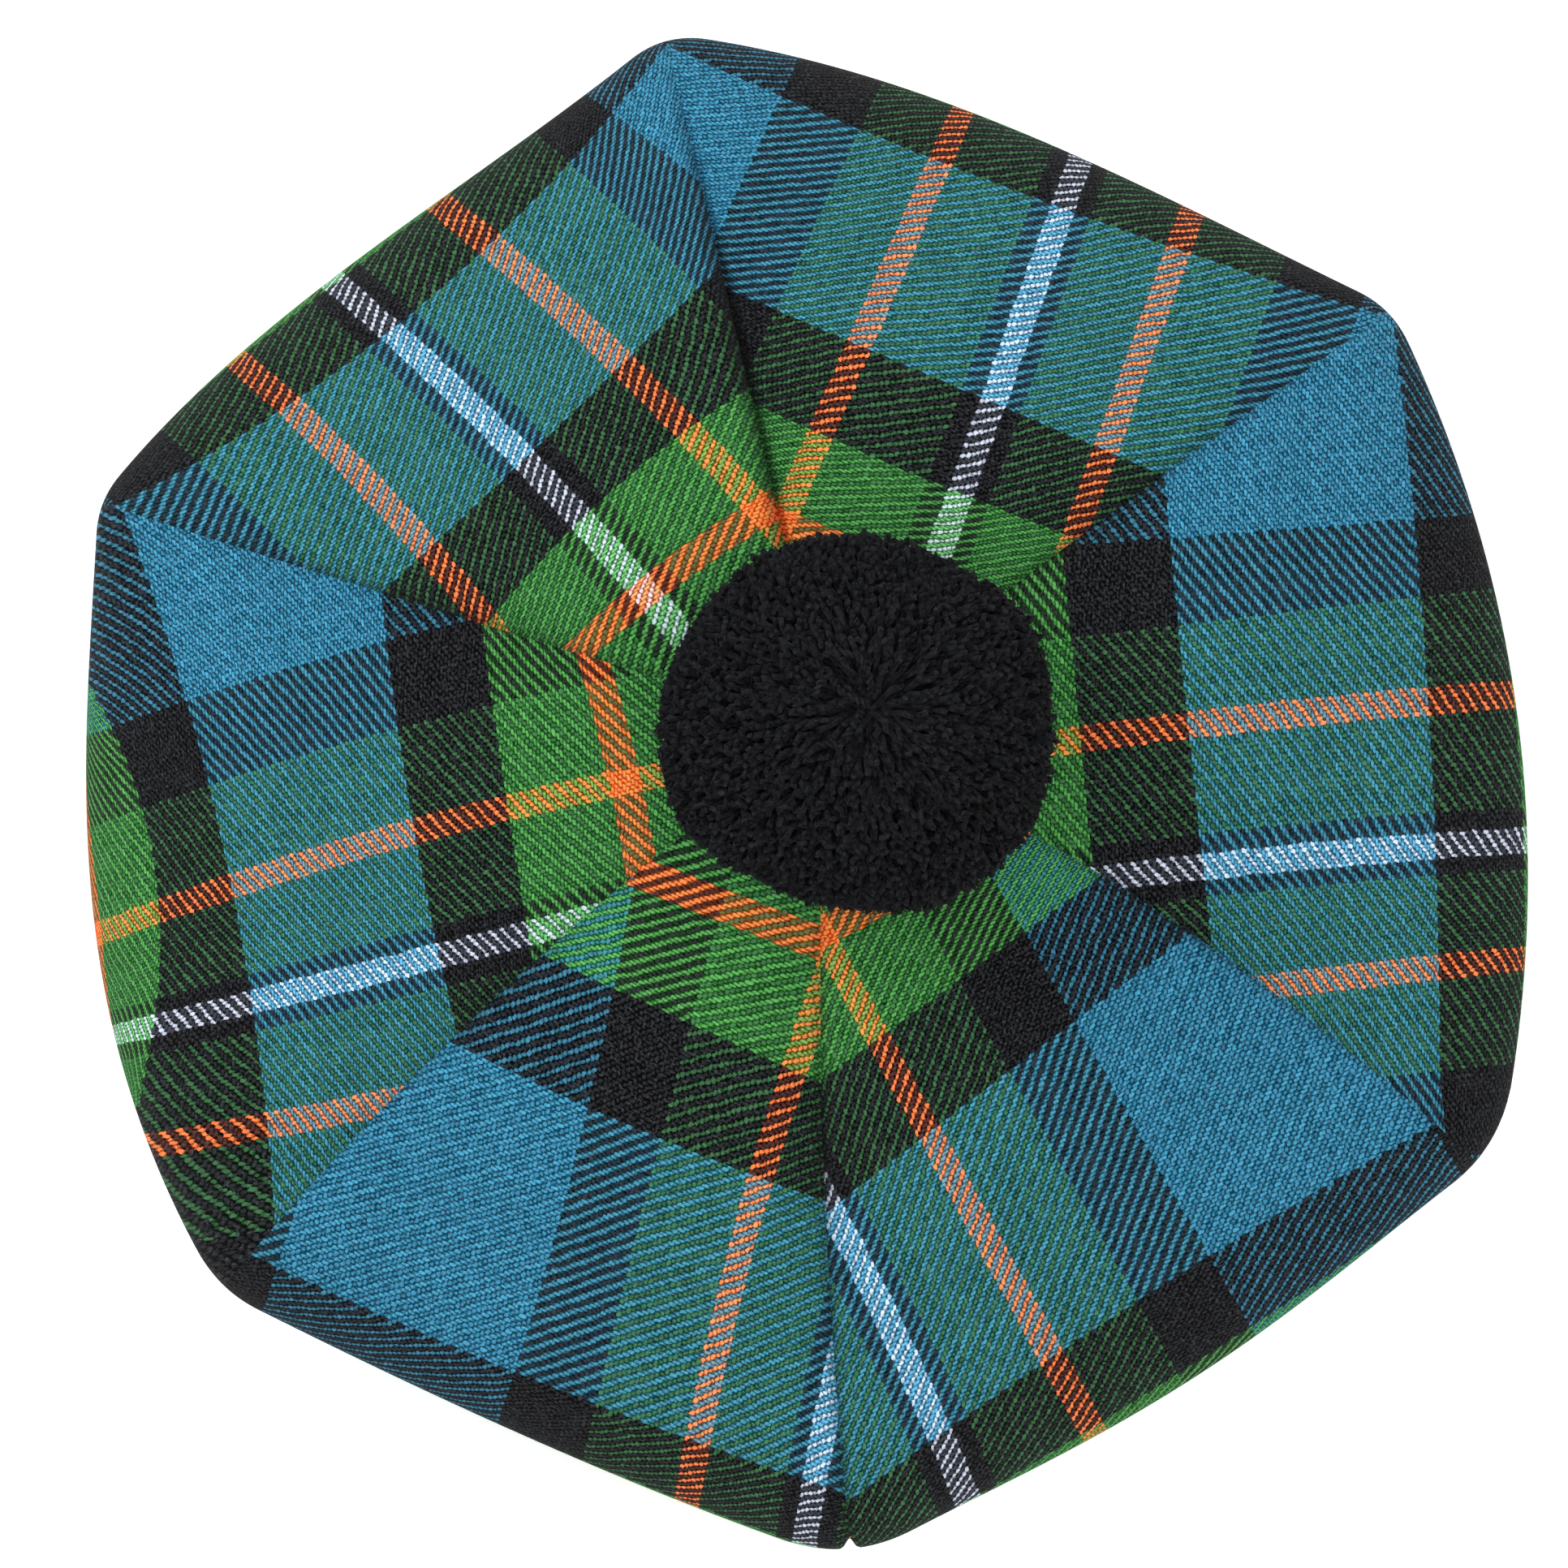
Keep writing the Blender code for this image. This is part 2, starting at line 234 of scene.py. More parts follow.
def rim_line(gore, share):
    """Plan points on a gore's rim, between two sharp corners."""
    first, second = corner(SEAMS[gore.first]), corner(SEAMS[gore.second])
    across = 2.0 * share - 1.0
    swell = gore.bulge * MM * (1.0 - across ** 2) * (1.0 + gore.lean * across + gore.box * across ** 2)
    return lerp(first, second, share) - quarter_turn(unit(second - first)) * swell


def rim_length(gore):
    return np.linalg.norm(corner(SEAMS[gore.second]) - corner(SEAMS[gore.first]))


def soft_corner(seam, before, after, turn):
    """Points on the rounded rim at a seam. `turn` runs from 0 on the gore before it to 1 on the next."""
    cut = seam.rounding * MM
    start = rim_line(before, 1.0 - cut / rim_length(before))
    end = rim_line(after, cut / rim_length(after))
    return (1.0 - turn) ** 2 * start + 2.0 * turn * (1.0 - turn) * corner(seam) + turn ** 2 * end


def seam_fall(distance, spread):
    """1 at the seam, dropping to 0 where the cloth has left the valley."""
    return np.clip(1.0 - distance / (spread * MM), 0.0, None) ** 2


def seam_roll(distance):
    """0 at the seam, 1 on top of a roll of cloth close beside it, then back to 0."""
    return distance / ROLL_WIDTH * np.exp(1.0 - distance / ROLL_WIDTH)


class GoreForm:
    """The outer face of one gore as a grid of points, [across][along]."""

    def __init__(self, name):
        self.gore = GORES[name]
        self.first, self.second = SEAMS[self.gore.first], SEAMS[self.gore.second]
        self.beyond = [next(g for g in GORES.values() if g.second == self.gore.first),
                       next(g for g in GORES.values() if g.first == self.gore.second)]
        self.across = -np.cos(np.pi * np.arange(STEPS_ACROSS + 1) / STEPS_ACROSS)[:, None]
        self.place_columns()
        halves = zip(self.top(), self.underside())
        self.points, self.ahead, self.out = (np.concatenate(half, axis=1) for half in halves)
        self.stand_off()

    def shared(self, field):
        """A measure of the rim: the gore's own in its middle, the mean with its neighbour's at a seam."""
        own = getattr(self.gore, field)
        beyond = np.where(self.across < 0, *(getattr(gore, field) for gore in self.beyond))
        return lerp(own, (own + beyond) / 2.0, self.across ** 2) * MM

    def place_columns(self):
        """Where each column meets the rim and the headband."""
        share = (self.across + 1.0) / 2.0
        from_first = share * rim_length(self.gore) / (self.first.rounding * MM)
        from_second = (1.0 - share) * rim_length(self.gore) / (self.second.rounding * MM)
        before, after = self.beyond
        turn = lerp(self.first.part, 1.0, from_first)
        at_first = soft_corner(self.first, before, self.gore, turn)
        turn = self.second.part * (1.0 - from_second)
        at_second = soft_corner(self.second, self.gore, after, turn)
        middle = np.where(from_second < 1.0, at_second, rim_line(self.gore, share))
        self.rim = np.where(from_first < 1.0, at_first, middle)
        self.rim_z = self.shared("rim_height")
        self.bow = lerp(self.first.bow, self.second.bow, share) * MM
        angle_a, angle_b = (math.atan2(*corner(seam)[::-1]) for seam in (self.first, self.second))
        angle_b += math.tau * (angle_b < angle_a)
        self.band_turn = polar(lerp(angle_a, angle_b, share[:, 0]))

    def top(self):
        """From the crown out to the rim: points, the way each column heads, and how far out each is."""
        arm = self.rim - CROWN_CENTRE
        length = np.linalg.norm(arm, axis=-1, keepdims=True)
        reach = CROWN_REACH * length
        share = lerp(CROWN_HOLE / (3.0 * reach), 1.0, np.arange(STEPS_TOP + 1) / STEPS_TOP)
        distance, height = bezier([
            (0.0 * reach, CROWN_HEIGHT), (reach, CROWN_HEIGHT - reach * math.tan(CROWN_SLOPE)),
            (length, self.rim_z + self.shared("full_above")), (length, self.rim_z)], share)
        ahead = unit(arm)[:, None]
        out = distance / length
        bow = self.bow * 4.0 * out * (1.0 - out)
        plan = CROWN_CENTRE + ahead * distance[..., None] + quarter_turn(ahead) * bow[..., None]
        return raised(plan, height), np.broadcast_to(ahead, plan.shape), out

    def underside(self):
        """The same from the rim in to the headband, with a lip that lies flat on the band."""
        foot_z = BAND_HEIGHT + BAND_GAP
        foot = self.band_turn * FOOT_RADIUS
        run = np.linalg.norm(self.rim - foot, axis=-1, keepdims=True)
        distance, height = bezier([
            (run, self.rim_z), (run, self.rim_z - self.shared("full_below")),
            (UNDERSIDE_REACH * run, foot_z - UNDERSIDE_DROOP), (0.0 * run, foot_z)], UNDER_SHARES)
        ahead = unit(self.rim - foot)[:, None]
        slope = raised(foot[:, None] + ahead * distance[..., None], height)
        lip = raised(self.band_turn * LIP_RADIUS, foot_z)[:, None]
        points = np.concatenate([slope, lip], axis=1)
        return points, np.broadcast_to(ahead, points[..., :2].shape), np.ones(points.shape[:2])

    def stand_off(self):
        """Moves the points off the plain profile: the puff of the gore, its valleys and its grooves."""
        padded = np.pad(self.points, ((0, 0), (1, 1), (0, 0)), mode="edge")
        run = padded[:, 2:] - padded[:, :-2]
        normals = unit(raised(self.ahead * -run[..., 2:], (run[..., :2] * self.ahead).sum(-1)))
        width = rim_length(self.gore) * self.out / 2.0
        rising = np.sin(np.minimum(1.0, self.out * VALLEY_START) * np.pi / 2.0) ** 2
        stitched = np.minimum(1.0, self.out * GROOVE_START) * STITCHED_SHARE
        inside = 1.0 - self.out ** 3
        puff = self.gore.puff * MM * np.sin(np.pi * self.out) ** 2 * (1.0 - self.across ** 2)
        relief = np.where(STITCHED_SHARE >= 1.0, puff, 0.0)
        first, second = self.first, self.second
        for seam, spread, roll, side in ((first, first.spread_ccw, first.roll_ccw, 1.0),
                                         (second, second.spread_cw, second.roll_cw, -1.0)):
            gap = width * (1.0 + side * self.across)
            relief -= seam.valley * MM * inside * rising * seam_fall(gap, spread)
            narrow = lerp(seam.slot, seam.groove, inside) * stitched
            relief -= narrow * MM * np.exp(-(gap / GROOVE_WIDTH) ** 2)
            relief += roll * MM * seam_roll(gap) * rising * inside
        self.points = self.points + normals * relief[..., None]
        self.points[..., :2] += quarter_turn(self.ahead) * (self.across * SEAM_OVERLAP / 2)[..., None]


forms = {name: GoreForm(name) for name in GORES}
print("points on each gore:", forms["gore_right"].points.shape[:2])

# %% [markdown]
# ## How the checks lie on each gore
# Tartan is woven flat, in straight stripes, and the gores are cut from it. On the hat the cloth curves,
# so the stripes bend a little. The table gives the thread counts at which the colours change, and
# where those lines lie on each gore, measured from the crown's centre. `grain` is the direction in
# which the lengthwise threads run. A crosswise line is placed 40 mm to the clockwise side of the
# grain, on it, and 40 mm to the other side. A lengthwise line is placed 40, 80 and 120 mm out. The
# places are as the photo shows them, so a point is first carried to where the photo's lens puts it.
# Past the last crosswise line the thread count simply follows the length of the cloth over the rim.

# %% The lie of the cloth
LENGTHWISE_PITCH = 0.87 * MM  # from one lengthwise thread to the next
CROSSWISE_PITCH = 0.63 * MM
LIE_STEP = 40.0 * MM
LIE_LIMIT = 1.85  # a line bends no further than this many steps to either side
Lie = namedtuple("Lie", "grain rim_ease crosswise lengthwise")
LIES = {
    "gore_right": Lie(4.7, 0.9, {
        50: (25.0, 24.5, 24.5), 89: (49.0, 48.5, 48.0), 121: (69.5, 68.5, 68.0),
        205: (114.6, 116.0, 116.0)}, {
        -30: (-58.0, -56.0, -54.7), 0: (-33.5, -32.2, -32.3), 30: (-6.4, -4.6, -4.1),
        53: (13.2, 14.6, 16.1), 72: (31.0, 30.7, 30.5)}),
    "gore_back_right": Lie(70.4, 1.1, {
        50: (33.5, 34.0, 35.0), 89: (50.0, 51.5, 54.5), 121: (67.0, 69.5, 72.0),
        205: (109.5, 109.5, 111.0)}, {
        -30: (-32.4, -32.6, -32.9), 0: (-9.7, -9.6, -9.6), 30: (21.0, 18.0, 15.0),
        53: (38.0, 35.0, 31.0), 72: (54.0, 51.0, 47.5)}),
    "gore_back_left": Lie(131.2, 1.0, {
        50: (34.0, 41.8, 41.5), 89: (57.0, 61.0, 56.5), 121: (79.0, 76.5, 75.0),
        205: (114.6, 112.0, 115.0)}, {
        -72: (-53.0, -52.4, -45.6), -53: (-38.5, -37.5, -34.0), -30: (-18.3, -16.5, -11.2),
        0: (8.6, 9.6, 13.5), 30: (37.0, 34.5, 37.0)}),
    "gore_left": Lie(194.4, 1.20, {
        50: (41.0, 39.6, 43.5), 89: (58.0, 62.5, 66.0), 121: (76.0, 80.4, 82.0),
        205: (117.5, 117.7, 121.5), 237: (133.3, 131.3, 147.2)}, {
        -30: (0.5, -0.4, 1.4), 0: (23.7, 23.7, 23.3), 30: (50.0, 49.2, 47.0)}),
    "gore_front_left": Lie(247.8, 1.25, {
        50: (39.7, 38.6, 38.2), 89: (60.0, 62.0, 63.5), 121: (82.0, 83.7, 82.5),
        205: (136.3, 136.8, 135.6)}, {
        -72: (-23.0, -15.1, -9.8), -53: (-5.3, -0.2, 5.6), -30: (18.6, 20.9, 26.3),
        0: (42.0, 44.0, 49.6)}),
    "gore_front_right": Lie(302.0, 1.0, {
        50: (31.0, 34.5, 37.0), 89: (57.0, 54.0, 51.0), 121: (77.0, 73.0, 69.5),
        205: (126.0, 125.0, 125.7)}, {
        0: (-46.0, -47.5, -51.9), 30: (-21.7, -24.3, -26.5), 53: (-3.0, -5.0, -7.0),
        72: (12.0, 10.5, 9.0)}),
}


def bent_line(first, middle, last, step):
    """The place of a line that is given at steps -1, 0 and 1, in metres."""
    step = np.clip(step, -LIE_LIMIT, LIE_LIMIT)
    return (middle + (last - first) / 2.0 * step + ((first + last) / 2.0 - middle) * step ** 2) * MM


def count_between(place, lines, counts, pitch):
    """Thread count at a place between lines whose places and counts are known."""
    found = counts[0] + (place - lines[0]) / pitch
    for line, after, count, next_count in zip(lines, lines[1:], counts, counts[1:]):
        between = count + (place - line) / (after - line) * (next_count - count)
        found = np.where(place > line, between, found)
    return np.where(place > lines[-1], counts[-1] + (place - lines[-1]) / pitch, found)


def threads_on(form, lie):
    """The lengthwise and crosswise thread count at each point of a gore."""
    grain = polar(math.radians(lie.grain))
    side = quarter_turn(grain)
    nearness = CAMERA_DISTANCE / (CAMERA_DISTANCE + PICTURE_CENTRE.z - form.points[..., 2:])
    middle = np.array(PICTURE_CENTRE.xy)
    plan = lerp(middle, form.points[..., :2], nearness) - CROWN_CENTRE
    outward, sideways = plan @ grain, plan @ side
    crosswise = [bent_line(*places, sideways / LIE_STEP) for places in lie.crosswise.values()]
    v = count_between(outward, crosswise, list(lie.crosswise), CROSSWISE_PITCH)
    lengthwise = [bent_line(*places, outward / LIE_STEP - 2.0) for places in lie.lengthwise.values()]
    u = count_between(sideways, lengthwise, list(lie.lengthwise), LENGTHWISE_PITCH)

    step = np.diff(form.points, axis=1)
    lateral = step[..., :2] @ side
    length = np.sqrt(np.maximum((step ** 2).sum(-1) - lateral ** 2, 0.0))
    past = (outward > crosswise[-1]) | (np.arange(outward.shape[1]) > STEPS_TOP)
    for j in range(1, v.shape[1]):
        over = past[:, j] & past[:, j - 1]
        v[:, j] = np.where(over, v[:, j - 1] + length[:, j - 1] * lie.rim_ease / CROSSWISE_PITCH, v[:, j])
        if j > STEPS_TOP:
            u[:, j] = u[:, j - 1] + lateral[:, j - 1] / LENGTHWISE_PITCH
    return u, v


thread_counts = {name: threads_on(forms[name], LIES[name]) for name in GORES}
for name, (u, v) in thread_counts.items():
    print(name, "threads across:", round(float(u.max() - u.min())), "along:", round(float(v.max())))

# %% [markdown]
# ## The tartan
# Cloth like this is a 2/2 twill: each crosswise thread goes over two lengthwise threads and under the
# next two, and each row starts one thread further on, which draws the diagonal ribs. Both sets of
# threads change colour in the same order, the sett, which is mirrored about its white and its blue
# stripe. A picture of the cloth would blur close up, so a shader node group counts threads instead.
# It works out which thread is on top, looks up that thread's colour in the sett, and rounds it with
# painted shade in the hollows between the yarns and a painted highlight on their tops. The helpers turn
# sums in the script into Math nodes, so that the group can be written as arithmetic.

# %% Helpers for node trees
class Flow:
    """What a node puts out. Arithmetic on a flow adds the nodes that work it out."""

    def __init__(self, socket):
        self.socket, self.tree = socket, socket.id_data

    def beside(self, name):
        """Another output of the same node."""
        return Flow(self.socket.node.outputs[name])

    def __add__(self, other):
        return maths("ADD", self, other)

    def __sub__(self, other):
        return maths("SUBTRACT", self, other)

    def __rsub__(self, other):
        return maths("SUBTRACT", other, self)

    def __truediv__(self, other):
        return maths("DIVIDE", self, other)

    def __mul__(self, other):
        if self.socket.type == "VECTOR":
            return add_node(self.tree, "ShaderNodeVectorMath", {0: self, "Scale": other}, operation="SCALE")
        return maths("MULTIPLY", self, other)


def fill(node, inputs):
    """Sets a node's inputs to numbers and colours, or wires them to flows."""
    for name, value in dict(inputs).items():
        if isinstance(value, Flow):
            value.tree.links.new(value.socket, node.inputs[name])
        else:
            node.inputs[name].default_value = value


def add_node(tree, kind, inputs=(), output=None, **settings):
    """Adds a node, and returns what it puts out under a name, or else first."""
    node = tree.nodes.new(kind)
    for setting, value in settings.items():
        setattr(node, setting, value)
    fill(node, inputs)
    first = next(socket for socket in node.outputs if socket.enabled)
    return Flow(node.outputs[output] if output else first)


def maths(operation, *values, **settings):
    """What a Math node works out, or a Vector Math node where a value is a vector."""
    flows = [value for value in values if isinstance(value, Flow)]
    kind = "VectorMath" if any(flow.socket.type == "VECTOR" for flow in flows) else "Math"
    return add_node(flows[0].tree, "ShaderNode" + kind, enumerate(values), operation=operation, **settings)


def new_group(name, kind, inputs, outputs):
    """A node group with its named sockets: its tree, and what its inputs put out."""
    tree = bpy.data.node_groups.new(name, kind)
    for direction, sockets in (("INPUT", inputs), ("OUTPUT", outputs)):
        for socket_name, socket_kind, *default in sockets:
            socket = tree.interface.new_socket(
                socket_name, in_out=direction, socket_type="NodeSocket" + socket_kind)
            if default:
                socket.default_value = default[0]
    source = tree.nodes.new("NodeGroupInput")
    return tree, {socket.name: Flow(socket) for socket in source.outputs}


print("node helpers are ready")

# %% The sett
SettStripe = namedtuple("SettStripe", "colour crosswise lengthwise")
SETT = (  # thread counts from the middle of the white to the middle of the blue
    SettStripe("white", 5.0, 3.0),
    SettStripe("black", 6.0, 4.0),
    SettStripe("green", 34.0, 20.0),
    SettStripe("orange", 10.0, 6.0),
    SettStripe("green", 34.0, 20.0),
    SettStripe("black", 32.0, 19.0),
    SettStripe("blue", 42.0, 28.5),
)
Yarn = namedtuple("Yarn", "crosswise lengthwise")
YARNS = {  # the lengthwise yarns are set darker, the green most of all
    "white": Yarn((0.49, 0.51, 0.62), (0.44, 0.475, 0.58)),
    "black": Yarn((0.0088, 0.0093, 0.0112), (0.0088, 0.0093, 0.0112)),
    "green": Yarn((0.066, 0.242, 0.060), (0.028, 0.091, 0.036)),
    "orange": Yarn((0.86, 0.19, 0.050), (0.76, 0.165, 0.046)),
    "blue": Yarn((0.0400, 0.188, 0.278), (0.0280, 0.133, 0.203)),
}


def sett_colour(thread, direction):
    """The colour of a thread from its count: folded at the sett's two middles, then looked up."""
    total = sum(getattr(stripe, direction) for stripe in SETT)
    folded = maths("PINGPONG", thread + 0.5, total)
    colour = add_node(thread.tree, "ShaderNodeValToRGB", {"Fac": folded / total})
    ramp = colour.socket.node.color_ramp
    ramp.interpolation = "CONSTANT"
    ramp.elements.remove(ramp.elements[1])
    start = 0.0
    for stripe in SETT:
        stop = ramp.elements.new(start / total) if start else ramp.elements[0]
        stop.color = (*getattr(YARNS[stripe.colour], direction), 1.0)
        start += getattr(stripe, direction)
    return colour


print("threads in half a sett:", sum(s.crosswise for s in SETT), sum(s.lengthwise for s in SETT))

# %% The twill
REPEAT = 4.0  # the weave repeats after this many threads
STRAY = 1.7  # how far a thread strays from its line, in threads
WOBBLE = 0.75  # the same from one float to the next
RAGGED = 1.80  # how far loose fibres carry one yarn's colour over its neighbour's
ARCH_CROSSWISE = 0.60  # height of a float's arch, and of the roundness of its yarn
ROUND_CROSSWISE = 0.44
ARCH_LENGTHWISE = 0.51
ROUND_LENGTHWISE = 0.33
CROSSWISE_PROUD = 0.45  # the crosswise yarn is the fuller one and covers more
PLY_HEIGHT = 0.13
GRAIN_CROSSWISE = 0.16  # how much one float stands higher than the next
GRAIN_LENGTHWISE = 0.22
FIBRES = 1.8  # how much the tone swings from fibre to fibre
HAIR = 0.12  # cover of the finest loose fibres
HAZE = 0.02  # how much of the covered yarn's dye shows through them everywhere
# Painted highlight and painted shade: grey added on the highest fibres, and taken off in the hollows
# between the yarns.
GLINT = 0.010  # grey light off the fibres that stand highest
DEPTH = 0.026  # what the hollows between the yarns swallow
LINT = 0.90  # cover of the grey lint that shows on the black
LINT_LEVEL = 0.55  # lint lies where a noise is above this level, and its edge is this sharp
LINT_EDGE = 9.0
LINT_COLOUR = (0.058, 0.061, 0.070, 1.0)
GLOW = 1.5  # light that comes back through a yarn off the one behind it


def noise(place, scale, detail):
    return add_node(place.tree, "ShaderNodeTexNoise", {
        "Vector": place, "Scale": scale, "Detail": detail, "Roughness": 0.62})


def swing(chance, size):
    """A chance value of 0 to 1 as a swing about nought."""
    return (chance - 0.5) * size


def thread_chance(number, seed):
    """A chance value that a whole thread shares."""
    return add_node(number.tree, "ShaderNodeTexWhiteNoise", {"W": number + seed}, noise_dimensions="1D")


def float_chance(along, number, seed):
    """A chance value that each float of a thread has to itself."""
    place = add_node(number.tree, "ShaderNodeCombineXYZ", {
        "X": maths("FLOOR", along / REPEAT), "Y": number, "Z": seed})
    return add_node(number.tree, "ShaderNodeTexWhiteNoise", {"Vector": place})


def hair_lines(threads):
    """1 along the thin crooked lines where a noise crosses its middle value, 0 between them."""
    ridge = maths("ABSOLUTE", swing(noise(threads, scale=0.7, detail=5.0), 60.0))
    return maths("SUBTRACT", 1.0, ridge, use_clamp=True)


def yarn_profile(arch, beside, arch_height, round_height):
    """How high a yarn stands: its float's arch, plus its roundness from -0.5 to 0.5 beside its line."""
    rounded = maths("SQRT", maths("SUBTRACT", 1.0, beside * beside * 4.0, use_clamp=True))
    return arch * arch_height + rounded * round_height


def picked(weft_up, weft_value, warp_value):
    """The crosswise yarn's value where that yarn is on top, and the lengthwise yarn's elsewhere."""
    return add_node(weft_up.tree, "ShaderNodeMix", {"Factor": weft_up, "A": warp_value, "B": weft_value})


def mixed(share, first, second, mode="MIX", **settings):
    """Two colours in one. At least one of them is a flow."""
    tree = next(colour.tree for colour in (first, second) if isinstance(colour, Flow))
    return add_node(tree, "ShaderNodeMix", {"Factor": share, "A": first, "B": second},
                    data_type="RGBA", blend_type=mode, **settings)


def make_twill():
    """The node group: colour, with painted shade and highlight, and height of the twill at a place given in
    threads.
    """
    tree, given = new_group("tartan_twill", "ShaderNodeTree",
                            [("Threads", "Vector"), ("Unevenness", "Float", 0.2)],
                            [("Color", "Color"), ("Height", "Float")])
    threads = given["Threads"]
    place = add_node(tree, "ShaderNodeSeparateXYZ", {"Vector": threads})
    wobble = swing(noise(threads, scale=0.8, detail=2.0), WOBBLE)
    u = place + swing(noise(threads, scale=0.17, detail=4.0), STRAY) + wobble
    v = place.beside("Y") + swing(noise(threads, scale=0.23, detail=4.0), STRAY) - wobble
    count_u, count_v = maths("FLOOR", u), maths("FLOOR", v)
    beside_u, beside_v = maths("FRACT", u) - 0.5, maths("FRACT", v) - 0.5

    turn = math.tau / REPEAT
    weft_run, warp_run = u + count_v, v + count_u
    weft = yarn_profile(maths("SINE", weft_run * turn), beside_v, ARCH_CROSSWISE, ROUND_CROSSWISE)
    warp = yarn_profile(maths("SINE", warp_run * -turn), beside_u, ARCH_LENGTHWISE, ROUND_LENGTHWISE)
    weft += swing(float_chance(weft_run, count_v, seed=0.5), GRAIN_CROSSWISE)
    warp += swing(float_chance(warp_run, count_u, seed=7.5), GRAIN_LENGTHWISE)
    ragged = swing(noise(threads, scale=1.5, detail=4.0), RAGGED) + CROSSWISE_PROUD
    weft_up = maths("GREATER_THAN", weft + ragged, warp)

    chance = picked(weft_up, thread_chance(count_v, seed=1000.7), thread_chance(count_u, seed=0.3))
    twist = picked(weft_up, beside_v * 0.3 + u, (beside_u * -0.5 + v) * 0.75)
    ply = maths("SINE", (twist + chance) * math.tau) * PLY_HEIGHT
    height = ply + maths("MAXIMUM", weft, warp)
    open_share = ply + picked(weft_up, weft / (ARCH_CROSSWISE + ROUND_CROSSWISE),
                              warp / (ARCH_LENGTHWISE + ROUND_LENGTHWISE))

    weft_colour, warp_colour = sett_colour(count_v, "crosswise"), sett_colour(count_u, "lengthwise")
    covered = mixed(weft_up, weft_colour, warp_colour)
    yarn = mixed(HAZE, mixed(weft_up, warp_colour, weft_colour), covered)
    lit = mixed(1.0, yarn, mixed(GLOW, WHITE, covered, "ADD", clamp_factor=False), "MULTIPLY")
    # Painted shade and highlight: the colour is darker where the top yarn sits low, in the hollows, and
    # lighter where it stands high.
    relief_shading = add_node(tree, "ShaderNodeMapRange", {
        "Value": open_share, "From Min": 0.42, "From Max": 1.0, "To Min": 0.29, "To Max": 1.62})
    fibres = swing(noise(threads, scale=3.1, detail=4.0), FIBRES)
    tone = (swing(chance, given["Unevenness"]) + fibres + 1.0) * relief_shading
    # A painted highlight of grey on the highest fibres, and painted shade taken off the deepest hollows.
    above = maths("MAXIMUM", tone, 1.0) - 1.0
    below = 1.0 - maths("MINIMUM", tone, 1.0)
    shaded = mixed(1.0, lit, tone, "MULTIPLY")
    shaded = mixed(1.0, shaded, above * GLINT, "ADD")
    shaded = mixed(1.0, shaded, below * DEPTH, "SUBTRACT", clamp_result=True)
    haired = mixed(hair_lines(threads) * HAIR, shaded, mixed(0.5, weft_colour, warp_colour))
    specks = maths("SUBTRACT", noise(threads, scale=1.0, detail=4.0), LINT_LEVEL)
    specks = maths("MULTIPLY", specks, LINT_EDGE, use_clamp=True)
    colour = mixed(specks * LINT, haired, LINT_COLOUR, "LIGHTEN")
    fill(tree.nodes.new("NodeGroupOutput"), {"Color": colour, "Height": height})
    return tree


twill = make_twill()
print("nodes in the twill group:", len(twill.nodes))

# %% [markdown]
# The cloth's material reads the thread counts from the gore's own UV map, so the tartan bends with the
# cloth. Wool scatters light off its loose fibres, which a little sheen stands for.

# %% The cloth's material
THREAD_MAP = "threads"
YARN_RELIEF = 0.25 * MM
SHEEN = {"Sheen Weight": 0.03, "Sheen Roughness": 0.6}


def make_cloth(name, unevenness):
    material, shader = principled(name, YARNS["blue"].crosswise, 0.92)
    tree = material.node_tree
    threads = add_node(tree, "ShaderNodeUVMap", uv_map=THREAD_MAP)
    colour = add_node(tree, "ShaderNodeGroup", {"Threads": threads, "Unevenness": unevenness},
                      node_tree=twill)
    normal = add_node(tree, "ShaderNodeBump", {
        "Strength": 1.0, "Distance": YARN_RELIEF, "Height": colour.beside("Height")})
    fill(shader, {"Base Color": colour, "Normal": normal, "Specular IOR Level": 0.04, **SHEEN})
    return material


tartan_cloth = make_cloth("tartan_cloth", 0.25)
headband_cloth = make_cloth("headband_cloth", 0.2)
print("cloth materials:", tartan_cloth.name, headband_cloth.name)

# %% [markdown]
# ## The gores as meshes
# Each gore becomes a closed wall of cloth: the outer face, an inner face one cloth thickness behind it,
# and a narrow edge all round. A Solidify modifier could add the thickness, but at the crown, where the
# gore runs to a tip, it would throw spikes, so the inner face is placed one by one and measured straight
# down there.

# %% Walls from grids
FLAT_TIP = 25.0 * MM  # nearer the crown's centre than this, the wall turns level


def grid_normals(points):
    return unit(np.cross(np.gradient(points, axis=1), np.gradient(points, axis=0)))


def inner_face(form):
    normals = grid_normals(form.points)
    side = raised(quarter_turn(form.ahead), 0.0)
    for edge in (0, -1):
        lean = (normals[edge] * side[edge]).sum(-1, keepdims=True)
        normals[edge] -= side[edge] * lean
    normals[:, -1] = (0.0, 0.0, -1.0)
    from_centre = np.linalg.norm(form.points[..., :2] - CROWN_CENTRE, axis=-1, keepdims=True)
    share = np.clip(from_centre / FLAT_TIP, 0.0, 1.0)
    normals = unit(lerp(np.array((0.0, 0.0, 1.0)), unit(normals), share))
    return form.points - normals * CLOTH


def grid_quads(grid, axis=-1):
    """What a grid holds at the four corners of each of its cells."""
    return np.stack([grid[:-1, :-1], grid[1:, :-1], grid[1:, 1:], grid[:-1, 1:]], axis)


